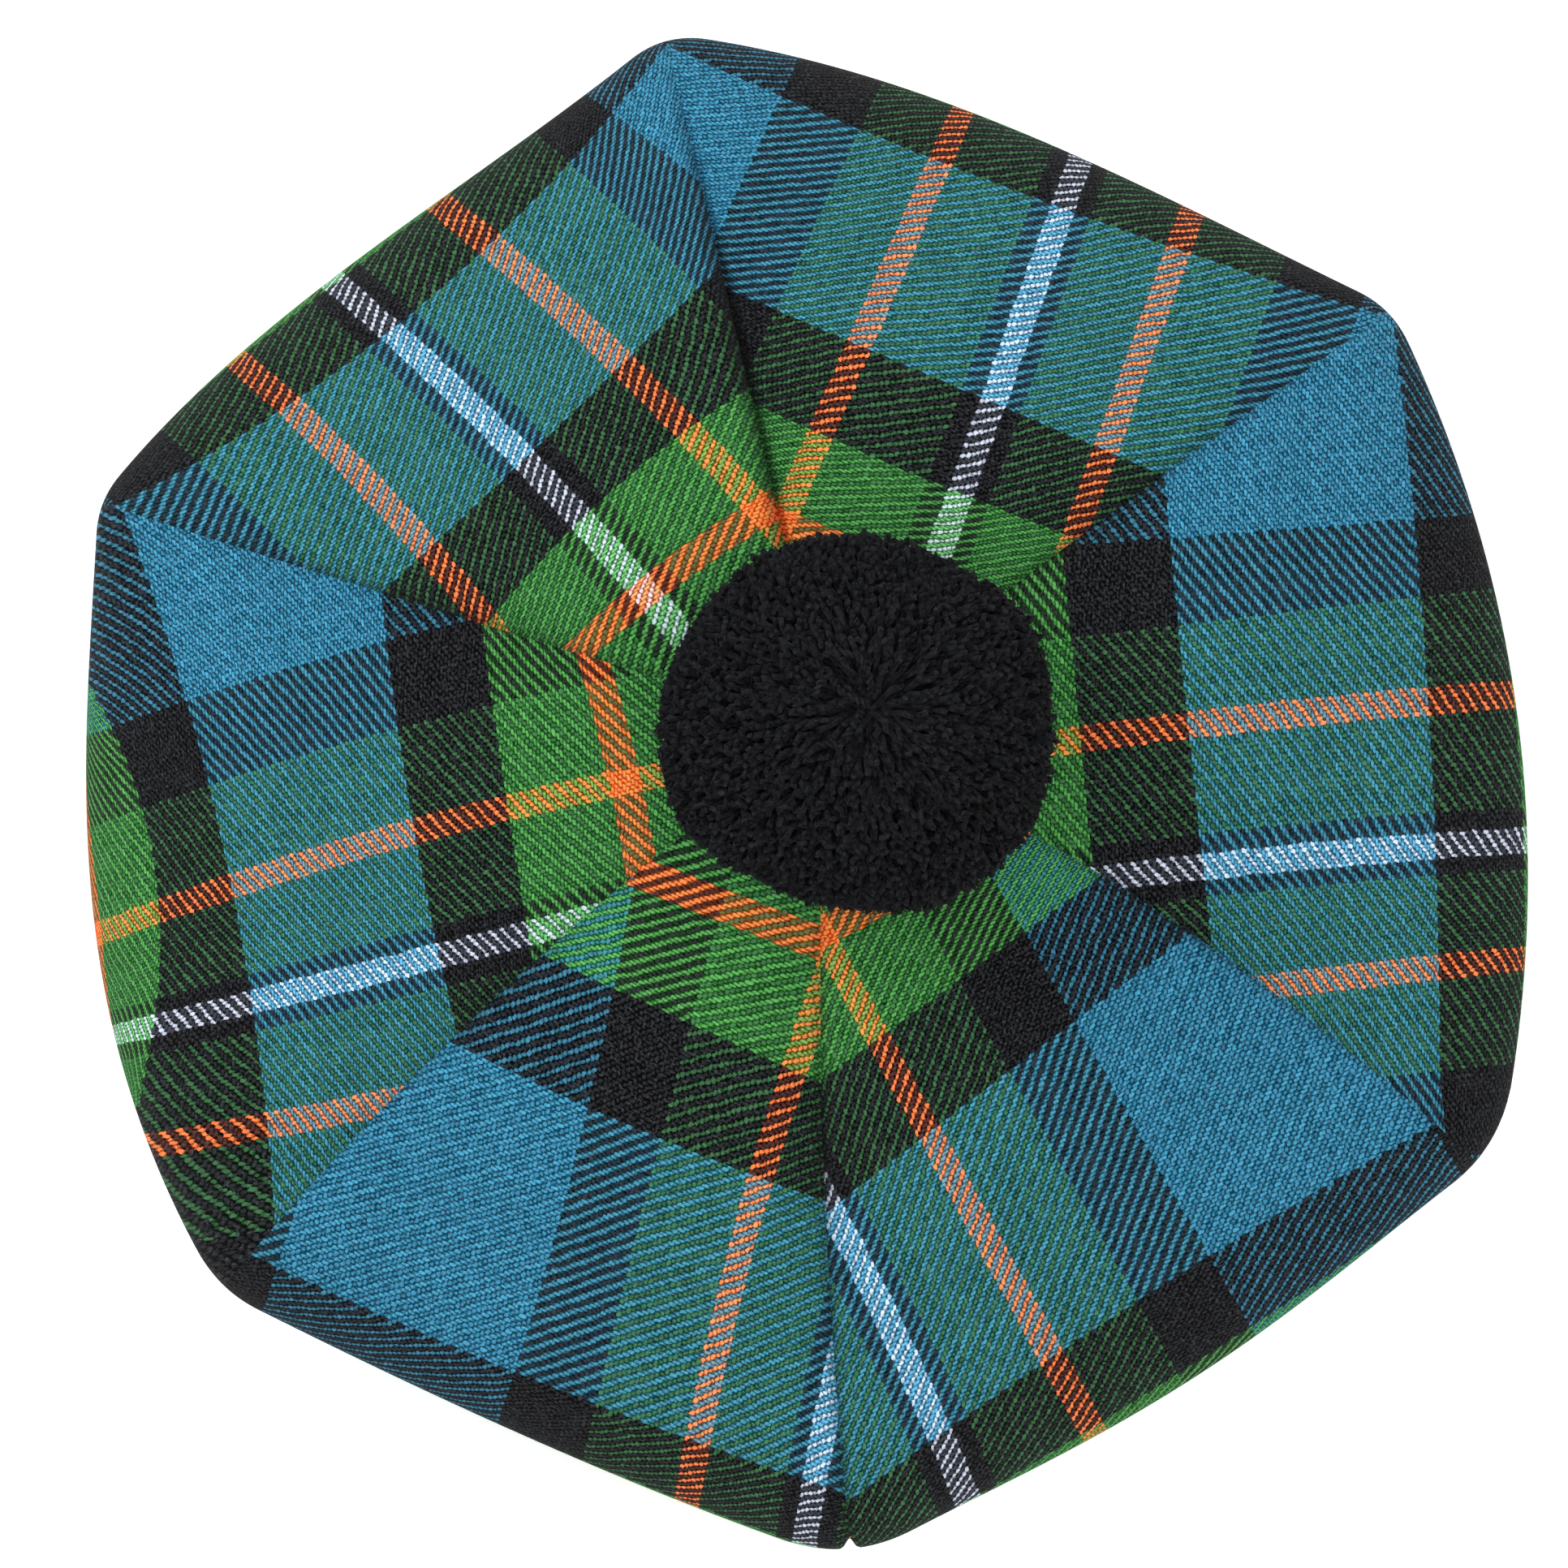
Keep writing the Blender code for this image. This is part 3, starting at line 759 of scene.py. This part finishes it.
def wall_faces(rows, columns):
    """Quads of a closed wall whose outer grid is numbered first and its inner grid after it."""
    number = np.arange(rows * columns).reshape(rows, columns)
    border = np.concatenate([number[:, 0], number[-1, 1:], number[-2::-1, -1], number[0, -2::-1]])
    edge = np.stack([border, border + number.size])
    outer, inner = grid_quads(number.T), grid_quads(number + number.size)
    return np.concatenate([outer.reshape(-1, 4), inner.reshape(-1, 4), grid_quads(edge.T).reshape(-1, 4)])


def new_mesh(name, points, faces):
    mesh = bpy.data.meshes.new(name)
    mesh.from_pydata(points.reshape(-1, 3).tolist(), [], faces.tolist())
    mesh.shade_smooth()
    return mesh


def cloth_mesh(name, points, faces, counts):
    """A mesh whose UV map holds the thread counts at the corners of its faces."""
    mesh = new_mesh(name, points, faces)
    layer = mesh.uv_layers.new(name=THREAD_MAP)
    layer.uv.foreach_set("vector", counts.astype(np.float32).ravel())
    return mesh


def add_piece(name, mesh, material, slot_name, *nodes):
    """Puts a finished mesh in the scene as a piece of the hat."""
    mesh.materials.clear()
    mesh.materials.append(material)
    piece = bpy.data.objects.new(name, mesh)
    bpy.context.scene.collection.objects.link(piece)
    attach(piece, "root")
    if nodes:
        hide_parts(*nodes)


def add_gore(name):
    form = forms[name]
    points = np.stack([form.points, inner_face(form)])
    faces = wall_faces(*form.points.shape[:2])
    counts = np.tile(np.stack(thread_counts[name], -1).reshape(-1, 2), (2, 1))
    mesh = cloth_mesh(name + "_cloth", points, faces, counts[faces])
    add_piece(name + "_cloth", mesh, tartan_cloth, "tartan_cloth", name)
    return len(faces) * 2


triangles = [add_gore(name) for name in GORES]
print("triangles on the six gores:", sum(triangles))

# %% [markdown]
# ## The headband
# A doubled band of the same cloth stands under the crown. The photo doesn't show it, so it is finished
# plainly: a ring with soft edges, turned from a small section, with the cloth running round it.

# %% Headband
BAND_TURNS = 360
BAND_EDGE = 0.8 * MM
EDGE_STEPS = 4
BAND_FIRST_THREAD = 150.0  # the crosswise count where the section starts


def band_section():
    """(radius, height) points round the band's section, with rounded corners."""
    near, far = BAND_RADIUS + BAND_EDGE, BAND_RADIUS + BAND_WALL - BAND_EDGE
    low, high = BAND_EDGE, BAND_HEIGHT - BAND_EDGE
    quarter = np.radians(90.0) * np.arange(EDGE_STEPS + 1) / EDGE_STEPS
    section = []
    for radius, height, start in ((far, low, -90), (far, high, 0), (near, high, 90), (near, low, 180)):
        section.append((radius, height) + polar(quarter + math.radians(start), BAND_EDGE))
    return np.concatenate(section + [section[0][:1]])


def add_headband():
    section = band_section()
    angles = np.arange(BAND_TURNS + 1) * math.tau / BAND_TURNS
    ring = raised(polar(angles)[:, None] * section[:, :1], section[:, 1])
    sides = len(section) - 1
    along = np.arange(BAND_TURNS + 1)[:, None] % BAND_TURNS
    faces = grid_quads(along * sides + np.arange(sides + 1) % sides).reshape(-1, 4)
    around = angles[:, None] * BAND_RADIUS / LENGTHWISE_PITCH
    lengths = np.linalg.norm(np.diff(section, axis=0), axis=1)
    up = np.concatenate([[0.0], np.cumsum(lengths)]) / CROSSWISE_PITCH + BAND_FIRST_THREAD
    counts = np.stack(np.broadcast_arrays(around, up), -1)
    mesh = cloth_mesh("headband_cloth", ring[:-1, :-1], faces, grid_quads(counts, -2))
    add_piece("headband_cloth", mesh, headband_cloth, "headband_cloth", "headband")
    return len(faces) * 2


print("triangles on the headband:", add_headband())

# %% [markdown]
# ## The pompom
# A pompom is made by winding yarn round a card, tying it tightly in the middle and cutting the loops.
# Thousands of cut ends then stand out from the tie on all sides. Hair particles could stand for them,
# but particles don't survive an export. Geometry Nodes scatter one short length of yarn over a dark
# core instead, and turn each copy away from the tie. The tie sits a little to the back right of the
# pompom's middle, and the yarn near it lies almost flat.

# %% The pompom's core
POMPOM_CENTRE = np.array((8.9, 12.9, 96.0)) * MM
POMPOM_CORE = np.array((31.0, 29.5, 26.0)) * MM
POMPOM_TIE = np.array((11.4, 15.9, 122.0)) * MM
CORE_RINGS = 48


def core_mesh():
    """A squashed ball. Once the yarn is scattered, its underside is set on the crown."""
    rings = np.arange(CORE_RINGS + 1)[:, None] * np.pi / CORE_RINGS
    turns = np.arange(2 * CORE_RINGS) * np.pi / CORE_RINGS
    ball = np.stack(np.broadcast_arrays(
        np.sin(rings) * np.cos(turns), np.sin(rings) * np.sin(turns), np.cos(rings)), -1)
    number = np.arange(ball[..., 0].size).reshape(ball.shape[:2])
    faces = grid_quads(np.concatenate([number, number[:, :1]], axis=1)).reshape(-1, 4)
    mesh = new_mesh("pompom_core", ball * POMPOM_CORE + POMPOM_CENTRE, faces)
    build = bmesh.new()
    build.from_mesh(mesh)
    bmesh.ops.remove_doubles(build, verts=build.verts, dist=0.01 * MM)
    build.to_mesh(mesh)
    build.free()
    return mesh


pompom_core = core_mesh()
print("faces on the core:", len(pompom_core.polygons))

# %% [markdown]
# The yarn's tree takes its sizes as named inputs. One length of yarn is a bent tube with a flattened
# section. The section turns on its way, as two strands twisted together do.

# %% Yarn by Geometry Nodes
YARN_TURNS = 1.1  # how often the section turns on its way
YARN_FLATNESS = 0.72
YARN_LENGTHS = (0.78, 1.16)  # the shortest and the longest, as shares of the length
LYING_WIDTH = 26.0 * MM  # nearer the tie than this the yarn leans outward more
LEAST_LEAN = 0.22
MOST_ENDS = 4.0e5  # in a square metre, before the ones that stand too close are dropped


def chance_value(seed, low, high, kind="FLOAT"):
    return add_node(seed.tree, "FunctionNodeRandomValue", {"Min": low, "Max": high, "Seed": seed},
                    data_type=kind)


def yarn_length(tree, given):
    """One length of yarn that stands on the origin, a little sunk into it."""
    bend = given["Thickness"] * given["Curl"]

    def control(x, y, height):
        return add_node(tree, "ShaderNodeCombineXYZ", {
            "X": bend * x, "Y": bend * y, "Z": given["Length"] * height})

    line = add_node(tree, "GeometryNodeCurvePrimitiveBezierSegment", {
        "Resolution": given["Steps"], "Start": control(0.0, 0.0, -0.2),
        "Start Handle": control(1.5, 0.3, 0.3), "End Handle": control(-1.4, -0.5, 0.6),
        "End": control(0.8, 0.2, 1.0)})
    tilted = add_node(tree, "GeometryNodeSetCurveTilt", {
        "Curve": line, "Tilt": add_node(tree, "GeometryNodeSplineParameter") * (YARN_TURNS * math.tau)})
    circle = add_node(tree, "GeometryNodeCurvePrimitiveCircle", {
        "Resolution": given["Sides"], "Radius": given["Thickness"] * 0.5})
    section = add_node(tree, "GeometryNodeTransform", {
        "Geometry": circle, "Scale": (1.0, YARN_FLATNESS, 1.0)})
    return add_node(tree, "GeometryNodeCurveToMesh", {
        "Curve": tilted, "Profile Curve": section, "Fill Caps": True})


def make_yarn_tree():
    tree, given = new_group("cut_yarn", "GeometryNodeTree", [
        ("Geometry", "Geometry"), ("Seed", "Int", 1), ("Spacing", "Float", 2.0 * MM),
        ("Length", "Float", 6.0 * MM), ("Thickness", "Float", 1.3 * MM), ("Curl", "Float", 1.0),
        ("Sides", "Int", 6), ("Steps", "Int", 5), ("Lean", "Float", 1.6), ("Chaos", "Float", 0.5),
        ("Tie", "Vector"), ("Yarn", "Material")], [("Geometry", "Geometry")])
    spread = add_node(tree, "GeometryNodeDistributePointsOnFaces", {
        "Mesh": given["Geometry"], "Distance Min": given["Spacing"], "Density Max": MOST_ENDS,
        "Seed": given["Seed"]}, distribute_method="POISSON")
    facing = spread.beside("Normal")
    away = add_node(tree, "GeometryNodeInputPosition") - given["Tie"]
    flat = away - maths("PROJECT", away, facing)
    lean = add_node(tree, "ShaderNodeMapRange", {
        "Value": maths("LENGTH", away), "From Min": 2.0 * MM, "From Max": LYING_WIDTH,
        "To Min": given["Lean"], "To Max": LEAST_LEAN}, interpolation_type="SMOOTHSTEP")
    stray = chance_value(given["Seed"] + 11.0, (-1.0,) * 3, (1.0,) * 3, "FLOAT_VECTOR") * given["Chaos"]
    heading = facing + maths("NORMALIZE", flat) * lean + stray
    spin = add_node(tree, "ShaderNodeCombineXYZ", {"Z": chance_value(given["Seed"] + 12.0, 0.0, math.tau)})
    turned = add_node(tree, "FunctionNodeAlignRotationToVector", {
        "Rotation": spin, "Vector": heading}, axis="Z")
    longer = maths("MULTIPLY_ADD", lean, 0.3, 1.0) * chance_value(given["Seed"] + 13.0, *YARN_LENGTHS)
    size = add_node(tree, "ShaderNodeCombineXYZ", {"X": 1.0, "Y": 1.0, "Z": longer})
    copies = add_node(tree, "GeometryNodeInstanceOnPoints", {
        "Points": spread, "Instance": yarn_length(tree, given), "Rotation": turned, "Scale": size})
    solid = add_node(tree, "GeometryNodeRealizeInstances", {"Geometry": copies})
    coloured = add_node(tree, "GeometryNodeSetMaterial", {"Geometry": solid, "Material": given["Yarn"]})
    fill(tree.nodes.new("NodeGroupOutput"), {"Geometry": coloured})
    return tree


yarn_tree = make_yarn_tree()
print("nodes in the yarn tree:", len(yarn_tree.nodes))

# %% [markdown]
# The wool is black, and deep between the ends almost no light comes back, so the yarn itself is only a
# little lighter than black. A fine bump stands for its loose fibres.

# %% The pompom's wool
WOOL_COLOUR = (0.0088, 0.0092, 0.0112)
WOOL_RELIEF = 0.3 * MM


def make_wool(name):
    material, shader = principled(name, WOOL_COLOUR, 0.95)
    place = add_node(material.node_tree, "ShaderNodeTexCoord", output="Object")
    tone = add_node(place.tree, "ShaderNodeMapRange", {
        "Value": noise(place, scale=1000.0, detail=4.0), "From Min": 0.38, "From Max": 0.66,
        "To Min": 0.1, "To Max": 2.3})
    normal = add_node(place.tree, "ShaderNodeBump", {
        "Strength": 0.8, "Distance": WOOL_RELIEF, "Height": noise(place, scale=2600.0, detail=3.0)})
    fill(shader, {"Base Color": mixed(1.0, (*WOOL_COLOUR, 1.0), tone, "MULTIPLY"), "Normal": normal,
                  "Specular IOR Level": 0.08, **SHEEN})
    return material


pompom_wool = make_wool("pompom_wool")
print("wool:", pompom_wool.name)

# %% Scatter the yarn
def run_tree(name, base, tree, **values):
    """Runs a tree on a base mesh and returns the result as a plain mesh."""
    holder = bpy.data.objects.new(name, base)
    bpy.context.scene.collection.objects.link(holder)
    modifier = holder.modifiers.new(name, "NODES")
    modifier.node_group = tree
    sockets = {item.name: item.identifier for item in tree.interface.items_tree if item.in_out == "INPUT"}
    for socket_name, value in values.items():
        modifier[sockets[socket_name]] = value
    graph = bpy.context.evaluated_depsgraph_get()
    mesh = bpy.data.meshes.new_from_object(holder.evaluated_get(graph))
    mesh.name = name
    mesh.shade_smooth()
    holder.modifiers.remove(modifier)
    bpy.data.objects.remove(holder)
    return mesh


def triangle_count(mesh):
    return sum(len(face.vertices) - 2 for face in mesh.polygons)


print("helpers to run a tree are ready")

# %% [markdown]
# A maker trims the pompom with shears at the end, and never quite evenly. The table gives how far the
# trimmed wool reaches in each direction, seen from above. Each length of yarn is pushed back along
# itself until its end meets that form, which keeps the end blunt. The wool underneath is lifted to
# where the crown carries it.

# %% Trim the pompom
POMPOM_REACH = (36.2, 37.4, 34.2, 34.9, 35.7, 35.4, 36.8, 38.0, 34.0, 34.6, 37.9, 38.0)
POMPOM_HALF_HEIGHT = 30.6 * MM
CROWN_REST = math.radians(4.6)  # the pompom's underside follows the crown at this slope
REST_GAP = 0.4 * MM
CUT_ERROR = 0.013  # how unevenly the shears cut, as a share of the reach
SHORTEST = 0.2  # the least that is left of a length


def reach_share(points):
    """How far points are from the pompom's middle, where 1 is the trimmed form."""
    arms = points - POMPOM_CENTRE
    turns = np.arctan2(arms[..., 1], arms[..., 0]) / math.tau % 1.0 * len(POMPOM_REACH)
    reach = np.interp(turns, range(len(POMPOM_REACH) + 1), POMPOM_REACH + POMPOM_REACH[:1]) * MM
    return np.sqrt((arms[..., :2] ** 2).sum(-1) / reach ** 2 + (arms[..., 2] / POMPOM_HALF_HEIGHT) ** 2)


def trim(points, overhang, seed):
    """Pushes lengths of yarn back to the trimmed form. Points are [end][ring][side]."""
    rings = points.mean(axis=2, keepdims=True)
    root, tip = rings[:, :1], rings[:, -1:]
    cut = 1.0 + overhang + np.random.default_rng(seed).normal(0.0, CUT_ERROR, (len(points), 1, 1))
    rooted = reach_share(root)
    kept = np.clip((cut - rooted) / np.maximum(reach_share(tip) - rooted, 0.01), SHORTEST, 1.0)
    return root + (rings - root) * kept[..., None] + (points - rings)


def rest_on_crown(points):
    """Lifts whatever would poke into the crown."""
    arm = np.linalg.norm(points[..., :2] - CROWN_CENTRE, axis=-1)
    carried = CROWN_HEIGHT + REST_GAP - arm * math.tan(CROWN_REST)
    points[..., 2] = np.maximum(points[..., 2], carried)
    return points


def mesh_points(mesh):
    points = np.empty(len(mesh.vertices) * 3)
    mesh.vertices.foreach_get("co", points)
    return points.reshape(-1, 3)


def move_points(mesh, points):
    mesh.vertices.foreach_set("co", points.ravel())
    mesh.update()


Strands = namedtuple("Strands", "name seed spacing length thickness curl chaos sides steps overhang")
POMPOM_STRANDS = (  # sizes in mm; the loose fibres stand a little proud of the cut ends
    Strands("pompom_yarn_1", 3, 1.38, 7.5, 1.50, 1.2, 0.45, 6, 4, 0.0),
    Strands("pompom_yarn_2", 5, 1.38, 7.5, 1.50, 1.2, 0.45, 6, 4, 0.0),
    Strands("pompom_yarn_3", 8, 1.38, 7.5, 1.50, 1.2, 0.45, 6, 4, 0.0),
    Strands("pompom_fibres_1", 13, 0.80, 7.8, 0.16, 7.0, 0.9, 3, 4, 0.014),
    Strands("pompom_fibres_2", 17, 0.80, 7.8, 0.12, 9.0, 0.9, 3, 4, 0.028),
)


def add_pompom():
    for lot in POMPOM_STRANDS:
        mesh = run_tree(lot.name, pompom_core, yarn_tree, Seed=lot.seed, Spacing=lot.spacing * MM,
                        Length=lot.length * MM, Thickness=lot.thickness * MM, Curl=lot.curl,
                        Sides=lot.sides, Steps=lot.steps, Lean=1.3, Chaos=lot.chaos, Tie=POMPOM_TIE,
                        Yarn=pompom_wool)
        points = mesh_points(mesh).reshape(-1, lot.steps + 1, lot.sides, 3)
        move_points(mesh, rest_on_crown(trim(points, lot.overhang, lot.seed)))
        print(mesh.name, "ends:", len(points), "triangles:", triangle_count(mesh))
        add_piece(mesh.name, mesh, pompom_wool, "pompom_wool")
    move_points(pompom_core, rest_on_crown(mesh_points(pompom_core)))
    add_piece("pompom_core", pompom_core, pompom_wool, "pompom_wool", "pompom")


add_pompom()

# %% [markdown]
# A few lengths were missed by the shears and lie on top, near the tie. They show how the yarn is made:
# two strands twisted together. A tree sweeps a double circle along each line and turns it as it goes.
# The table gives points of each line in mm from the tie, read off the photo.

# %% Loose ends by the tie
LOOSE_ENDS = (
    ((-10.6, 1.7), (-9.2, 4.7), (-7.3, 5.5), (-6.5, 3.6), (-4.1, 1.7), (-0.5, 0.2)),
    ((-1.9, -1.0), (-3.1, -3.4), (-4.9, -5.9), (-6.0, -7.8), (-7.3, -7.0), (-10.6, -7.6)),
    ((-9.5, 9.1), (-7.3, 10.0), (-4.6, 9.9), (-1.9, 8.8), (-0.5, 6.1), (0.0, 1.7)),
)
SUNK_ENDS = (-1, 0, -1)  # which end of each goes down to the tie
SUNK_DEPTH = 2.5 * MM
LOOSE_LIFT = 0.3 * MM
LOOSE_STEP = 0.35 * MM
LOOSE_THICKNESS = 0.85 * MM  # of each of the two strands
LOOSE_TWIST = 380.0  # turns of the pair in a metre


def make_rope_tree():
    tree, given = new_group("twisted_pair", "GeometryNodeTree", [
        ("Geometry", "Geometry"), ("Thickness", "Float", LOOSE_THICKNESS), ("Twist", "Float", LOOSE_TWIST),
        ("Yarn", "Material")], [("Geometry", "Geometry")])
    line = add_node(tree, "GeometryNodeMeshToCurve", {"Mesh": given["Geometry"]})
    smooth = add_node(tree, "GeometryNodeCurveSplineType", {"Curve": line}, spline_type="CATMULL_ROM")
    even = add_node(tree, "GeometryNodeResampleCurve", {"Curve": smooth, "Length": LOOSE_STEP},
                    mode="LENGTH")
    along = add_node(tree, "GeometryNodeSplineParameter", output="Length")
    turned = add_node(tree, "GeometryNodeSetCurveTilt", {
        "Curve": even, "Tilt": along * (given["Twist"] * math.tau)})
    circle = add_node(tree, "GeometryNodeCurvePrimitiveCircle", {
        "Resolution": 8, "Radius": given["Thickness"] * 0.5})
    pair = tree.nodes.new("GeometryNodeJoinGeometry")
    for side in (-0.42, 0.42):
        apart = add_node(tree, "ShaderNodeCombineXYZ", {"X": given["Thickness"] * side})
        fill(pair, {"Geometry": add_node(tree, "GeometryNodeTransform", {
            "Geometry": circle, "Translation": apart})})
    tube = add_node(tree, "GeometryNodeCurveToMesh", {
        "Curve": turned, "Profile Curve": Flow(pair.outputs["Geometry"]), "Fill Caps": True})
    coloured = add_node(tree, "GeometryNodeSetMaterial", {"Geometry": tube, "Material": given["Yarn"]})
    fill(tree.nodes.new("NodeGroupOutput"), {"Geometry": coloured})
    return tree


def on_the_pompom(plan):
    """Lifts plan points onto the trimmed form."""
    from_middle = reach_share(raised(plan, POMPOM_CENTRE[2]))
    height = POMPOM_HALF_HEIGHT * np.sqrt(np.clip(1.0 - from_middle ** 2, 0.0, None))
    return raised(plan, POMPOM_CENTRE[2] + (height + LOOSE_LIFT))


def add_loose_ends():
    lines = [on_the_pompom(POMPOM_TIE[:2] + np.array(line) * MM) for line in LOOSE_ENDS]
    for line, sunk_end in zip(lines, SUNK_ENDS):
        line[sunk_end, 2] -= SUNK_DEPTH
    first = np.cumsum([0] + [len(line) for line in lines[:-1]])
    edges = [(start + k, start + k + 1) for start, line in zip(first, lines) for k in range(len(line) - 1)]
    base = bpy.data.meshes.new("loose_lines")
    base.from_pydata(np.concatenate(lines).tolist(), edges, [])
    mesh = run_tree("pompom_loose_ends", base, make_rope_tree(), Yarn=pompom_wool)
    add_piece(mesh.name, mesh, pompom_wool, "pompom_wool")
    return triangle_count(mesh)


print("triangles on the loose ends:", add_loose_ends())
